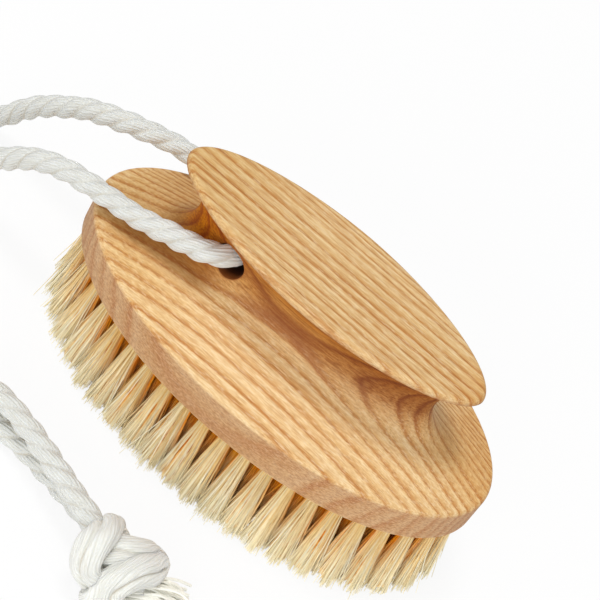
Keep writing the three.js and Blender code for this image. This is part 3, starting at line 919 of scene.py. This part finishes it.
def rope_shadow_tone(wood, colour, place):
    """Painted shadow of the front rope: deep brown on the slope beside it and under it."""
    across = [(0.0, 0.0), (0.4, 0.7), (0.7, 1.0), (1.0, 0.3)]
    # Painted shadow, strongest just in front of the rope.
    beside = wood.product(
        wood.ramp(wood.spread(place["Y"], -18.0, -7.0), across),
        wood.spread(place["X"], -20.0, -27.0),
        wood.spread(place["X"], -62.0, -50.0),
        wood.spread(place["Z"], NECK_LEVEL, NECK_LEVEL - 3),
    )
    return wood.tint(beside, colour, 0.58, 0.38, 0.18)


def groove_shade_and_light(wood, colour, place):
    """Painted shade, deeper and redder, in the finger groove and under the grip, most of all at the rope's
    end, and painted light, brighter and warmer, in the hollow behind the rope's end.
    """
    height = place["Z"]
    # Painted shade under the grip's overhang.
    under_grip_shade = wood.ramp(wood.spread(height, NECK_LEVEL, TOP), UNDER_GRIP_SHADE_HEIGHTS)
    colour = wood.tint(under_grip_shade, colour, 0.76, 0.58, 0.34)
    # Painted shade in the groove, reaching lower at the rope's end.
    drop = wood.product(wood.spread(place["X"], -15.0, -45.0), ROPE_END_SHADE_DROP)
    groove = wood.ramp(wood.spread(wood.sum("ADD", height, drop), BAND_TOP, TOP), GROOVE_SHADE_HEIGHTS)
    colour = wood.tint(groove, colour, 0.82, 0.62, 0.32)
    # Painted light: brighter, warmer colour in the hollow behind the rope's end.
    hollow = wood.ramp(wood.spread(height, BAND_TOP, TOP), HOLLOW_LIGHT_HEIGHTS)
    hollow = wood.product(hollow, wood.spread(place["X"], -18.0, -34.0))
    hollow_lift = {"Hue": 0.49, "Saturation": 1.3, "Value": 1.2, "Fac": hollow, "Color": colour}
    return wood.add("ShaderNodeHueSaturation", hollow_lift).outputs["Color"]


def grip_tone(wood, colour, place):
    return wood.tint(wood.spread(place["Z"], LIP - 4, LIP), colour, 0.90, 0.88, 0.84)


def bore_shade(wood, colour, place):
    """Painted shade inside the bore, darkest well inside and paler towards its mouths."""
    inputs = {0: wood.millimetres(), 1: (1, 0, 1)}
    flat = wood.add("ShaderNodeVectorMath", inputs, operation="MULTIPLY").outputs[0]
    inputs = {0: flat, 1: (BORE_X, 0, NECK_LEVEL)}
    away = wood.add("ShaderNodeVectorMath", inputs, operation="DISTANCE").outputs["Value"]
    inside = wood.spread(away, BORE_RADIUS, BORE_RADIUS + 0.4, 1.0, 0.0)
    # Painted shade, by how far along the bore from its middle.
    deep = wood.ramp(wood.spread(wood.sum("ABSOLUTE", place["Y"]), 5.0, 12.0), BORE_SHADE_COLOURS)
    return wood.mix(inside, colour, deep)


def ash_wood():
    wood = Shader("ash_wood")
    place = wood.parts(wood.millimetres())
    phase, ring = growth_rings(wood)
    fibres = wood.noise(wood.millimetres((0.05, 1.6, 1.6)), 3.0, 0.7)
    flecks = wood.noise(wood.millimetres((0.15, 4.2, 4.2)), 2.0)
    pores = wood.sum("MULTIPLY", wood.spread(flecks, 0.53, 0.64), wood.ramp(phase, PORE_SHARES), clamp=True)
    colour = ring_colours(wood, phase, ring)
    colour = fine_grain(wood, colour, fibres, pores)
    colour = upright_grain_and_shade(wood, colour)
    colour = cove_grain(wood, colour, phase, place)
    for add_tone in (end_tones, rope_shadow_tone, groove_shade_and_light, grip_tone, bore_shade):
        colour = add_tone(wood, colour, place)
    height = wood.sum("SUBTRACT", wood.product(fibres, 0.35), pores)
    wood.set(base_color=colour, roughness=wood.spread(fibres, 0.3, 0.7, 0.48, 0.62), specular_ior_level=0.3)
    wood.set(normal=wood.bump(height, 0.25, 0.0002))
    return wood.material


# Hair: colours by tone, from dark to pale, and the amber tint of painted shade where other hair shades the
# roots
HAIR_COLOURS = [
    (0.00, srgb(204, 146, 70)),
    (0.20, srgb(230, 184, 106)),
    (0.45, srgb(248, 216, 152)),
    (0.75, srgb(254, 236, 188)),
    (1.00, srgb(255, 251, 228)),
]
AMBER_SHADE = (1.0, 0.48, 0.03)


def boar_bristle(name, tip_share, least_amber, streaks, gloss):
    """Hair with a paler tip, partly its own bleached tip and partly painted light from below, and painted
    shade: darker near the block on hair in the open, amber from the root where other hair shades it.
    """
    hair = Shader(name)
    hair_shade = hair.value("hair_shade")
    height = hair.parts(hair.millimetres())["Z"]
    streak = hair.noise(hair.millimetres((2.2, 2.2, 0.06)), 1.0)
    colour = hair.ramp(hair.value("tone"), HAIR_COLOURS)
    colour = hair.mix(hair.spread(streak, 0.50, 0.65, 0.0, streaks), colour, srgb(255, 236, 176))
    colour = hair.mix(hair.spread(streak, 0.50, 0.35, 0.0, streaks), colour, srgb(186, 124, 48))
    # Paler tips: partly the hair's own bleached tips, partly painted light from below.
    tip_bleach_and_light = hair.spread(height, 0.0, 0.45 * UNDERSIDE, tip_share, 0.0)
    colour = hair.mix(tip_bleach_and_light, colour, srgb(255, 246, 212))
    # Painted shade near the block on hair in the open.
    block_shade_zone = hair.spread(height, 0.35 * UNDERSIDE, 0.95 * UNDERSIDE)
    open_to_light = hair.sum("SUBTRACT", 1.0, hair_shade)
    colour = hair.tint(hair.product(block_shade_zone, open_to_light), colour, 0.80, 0.68, 0.46)
    # Painted amber shade from the root on hair that other hair shades.
    amber_shade_zone = hair.spread(height, 0.2 * UNDERSIDE, 0.7 * UNDERSIDE, least_amber, 1.0)
    colour = hair.tint(hair.product(amber_shade_zone, hair_shade), colour, *AMBER_SHADE)
    rough = hair.spread(streak, 0.2, 0.8, 0.38, 0.55)
    hair.set(base_color=colour, roughness=rough, specular_ior_level=gloss)
    return hair.material


def crease_shaded_cotton(cotton, groove, crown):
    """The strands' colour, with broken brownish painted shade in the creases that fades where they face up to
    the light.
    """
    patches = cotton.noise(cotton.millimetres((0.2, 0.2, 0.2)), 1.0)
    # Painted shade in the creases between strands.
    crease_shade = cotton.product(
        cotton.spread(groove, 0.75, 1.0),
        cotton.spread(patches, 0.4, 0.6, 0.35, 0.9),
        cotton.spread(cotton.facing()["Z"], 0.5, 0.95, 1.0, 0.4),
    )
    return cotton.mix(crease_shade, crown, srgb(190, 176, 152))


def cotton_rope(name, crown, lines, depth):
    """White cotton yarns: their colour, how clearly they part, and how much light goes into them."""
    cotton = Shader(name)
    groove = cotton.value("groove")
    yarn = cotton.value("yarn")
    ridge = cotton.spread(cotton.sum("COSINE", cotton.product(yarn, 2 * math.pi)), 1.0, -1.0)
    tone = cotton.chance(cotton.sum("FLOOR", yarn))
    along_yarn = {0: cotton.product(yarn, 2.5), 1: cotton.product(cotton.value("along"), 0.35)}
    fibres = cotton.noise(cotton.add("ShaderNodeCombineXYZ", along_yarn).outputs[0], 3.0, 0.6)
    fuzz = cotton.noise(cotton.millimetres((4.0, 4.0, 4.0)), 2.0, 0.6)
    colour = crease_shaded_cotton(cotton, groove, crown)
    # Painted shade in the valleys between the yarns.
    colour = cotton.mix(cotton.spread(ridge, 0.0, 0.4, 0.35 * lines, 0.0), colour, srgb(208, 205, 192))
    colour = cotton.mix(cotton.spread(tone, 0.5, 1.0, 0.0, 0.25), colour, srgb(220, 218, 206))
    colour = cotton.mix(cotton.spread(fibres, 0.45, 0.7, 0.0, 0.45 * lines), colour, srgb(214, 210, 196))
    height = cotton.sum("ADD", cotton.product(fibres, 0.6), ridge)
    height = cotton.sum("ADD", height, cotton.product(fuzz, 0.4))
    height = cotton.product(height, cotton.spread(groove, 0.5, 0.9, 1.0, 0.0))
    rough = cotton.spread(fuzz, 0.2, 0.8, 0.82, 0.95)
    cotton.set(base_color=colour, roughness=rough, specular_ior_level=0.12, sheen_weight=0.15)
    cotton.set(subsurface_weight=depth, subsurface_radius=(1.0, 0.97, 0.9), subsurface_scale=0.001)
    cotton.set(normal=cotton.bump(height, lines, 0.0003))
    return cotton.material


def anchor_wire():
    wire = Shader("anchor_wire")
    scratch = wire.noise(wire.millimetres((0.4, 6, 6)))
    colour = wire.mix(scratch, srgb(176, 150, 92), srgb(206, 184, 128))
    wire.set(base_color=colour, metallic=1.0, roughness=wire.spread(scratch, 0.2, 0.8, 0.3, 0.5))
    return wire.material


# Camera, light and floor
def add_camera():
    lens = bpy.data.cameras.new("camera")
    lens.sensor_width = CAMERA_SENSOR
    lens.lens = CAMERA_LENS
    lens.clip_start = 0.01
    camera = bpy.data.objects.new("camera", lens)
    turn = Matrix((CAMERA_RIGHT, CAMERA_UP, CAMERA_BACK)).transposed().to_4x4()
    camera.matrix_world = Matrix.Translation([value * MM for value in CAMERA_EYE]) @ turn
    bpy.context.collection.objects.link(camera)
    bpy.context.scene.camera = camera


def add_area_light(name, place, size, power):
    lamp = bpy.data.lights.new(name, "AREA")
    lamp.shape = "DISK"
    lamp.size = size
    lamp.energy = power
    light = bpy.data.objects.new(name, lamp)
    back = Vector(place) - Vector(LIGHT_TARGET)
    light.location = place
    light.rotation_euler = back.to_track_quat("Z", "Y").to_euler()
    bpy.context.collection.objects.link(light)


def add_lights():
    add_area_light("key", **KEY_LIGHT)
    add_area_light("fill", **FILL_LIGHT)
    world = bpy.data.worlds.new("studio")
    world.use_nodes = True
    sky = world.node_tree.nodes["Background"].inputs
    sky["Color"].default_value = (1, 1, 1, 1)
    sky["Strength"].default_value = SKY_STRENGTH
    bpy.context.scene.world = world


def pale_floor():
    """White to the camera, with the object's shadow kept in the share that the light falls on."""
    floor = Shader("pale_floor")
    tree = floor.tree
    floor.set(base_color=(0.92, 0.92, 0.92, 1), roughness=0.9, specular_ior_level=0.0)
    glow = floor.add("ShaderNodeEmission", {"Color": (1, 1, 1, 1), "Strength": 1.0})
    rays = floor.add("ShaderNodeLightPath")
    share = floor.product(rays.outputs["Is Camera Ray"], FLOOR_GLOW)
    both = floor.add("ShaderNodeMixShader", {0: share, 1: floor.surface.outputs[0], 2: glow.outputs[0]})
    tree.links.new(both.outputs[0], tree.nodes["Material Output"].inputs["Surface"])
    return floor.material


def add_floor():
    corners = np.array([(-1, -1, 0), (1, -1, 0), (1, 1, 0), (-1, 1, 0)]) * FLOOR_HALF
    add_mesh("floor", corners, [np.array([[0, 1, 2, 3]])], pale_floor())


def build_rope():
    laid = cotton_rope("cotton_rope", crown=srgb(231, 233, 230), lines=1.0, depth=0.6)
    # The knot and the tails are the same cotton made paler: painted light that offsets the heavier shade
    # among their folds and loose yarns.
    opened = cotton_rope("opened_cotton_painted_light", crown=srgb(240, 241, 236), lines=0.8, depth=0.6)
    frayed = cotton_rope("frayed_cotton_painted_light", crown=srgb(255, 255, 246), lines=0.5, depth=0.0)
    knot = add_knot(opened)
    near = add_frays("frayed_tail_near", TAIL_NEAR, "rope_tail_near", frayed)
    far = add_frays("frayed_tail_far", TAIL_FAR, "rope_tail_far", frayed, [LOOSE_STRAND])
    front_line = curve_through(FRONT_ROUTE, ROPE_STEP)
    front = add_rope("rope_front", front_line, laid)
    front_nodes = ("rope_in_bore", "rope_front_lead", "rope_front_run")
    declare_cord(front, front_nodes)
    back_line = curve_through(BACK_ROUTE, ROPE_STEP)
    back = add_rope("rope_back", back_line, laid)
    back_nodes = ("rope_back_lead", "rope_back_run")
    declare_cord(back, back_nodes)


def build_brush():
    rows = tuft_rows()
    roots = np.vstack([row[0] for row in rows])
    build_block(roots, ash_wood())
    build_anchors(roots, anchor_wire())
    lit = boar_bristle("bristle_hair", tip_share=1.0, least_amber=0.1, streaks=0.15, gloss=0.25)
    # Inner rings get a shaded copy of the hair: painted shade, more amber and without gloss.
    shaded_hair = boar_bristle("shade_painted_hair", tip_share=1.0, least_amber=0.3, streaks=0.15, gloss=0.0)
    inner = boar_bristle("inner_hair", tip_share=0.6, least_amber=0.1, streaks=0.7, gloss=0.0)
    places = ("outer_ring", "second_ring", "third_ring", "centre")
    hairs = (lit, shaded_hair, shaded_hair, shaded_hair)
    for place, tufts, count, root_spread, hair in zip(places, rows, BRISTLES_IN_TUFT, ROOT_SPREADS, hairs):
        build_bristles("bristles_" + place, "tufts_" + place, tufts, count, root_spread, hair)
    build_bundles(rows, inner)


add_camera()
build_rope()
build_brush()
add_lights()
add_floor()
bpy.context.scene.view_settings.view_transform = "Standard"
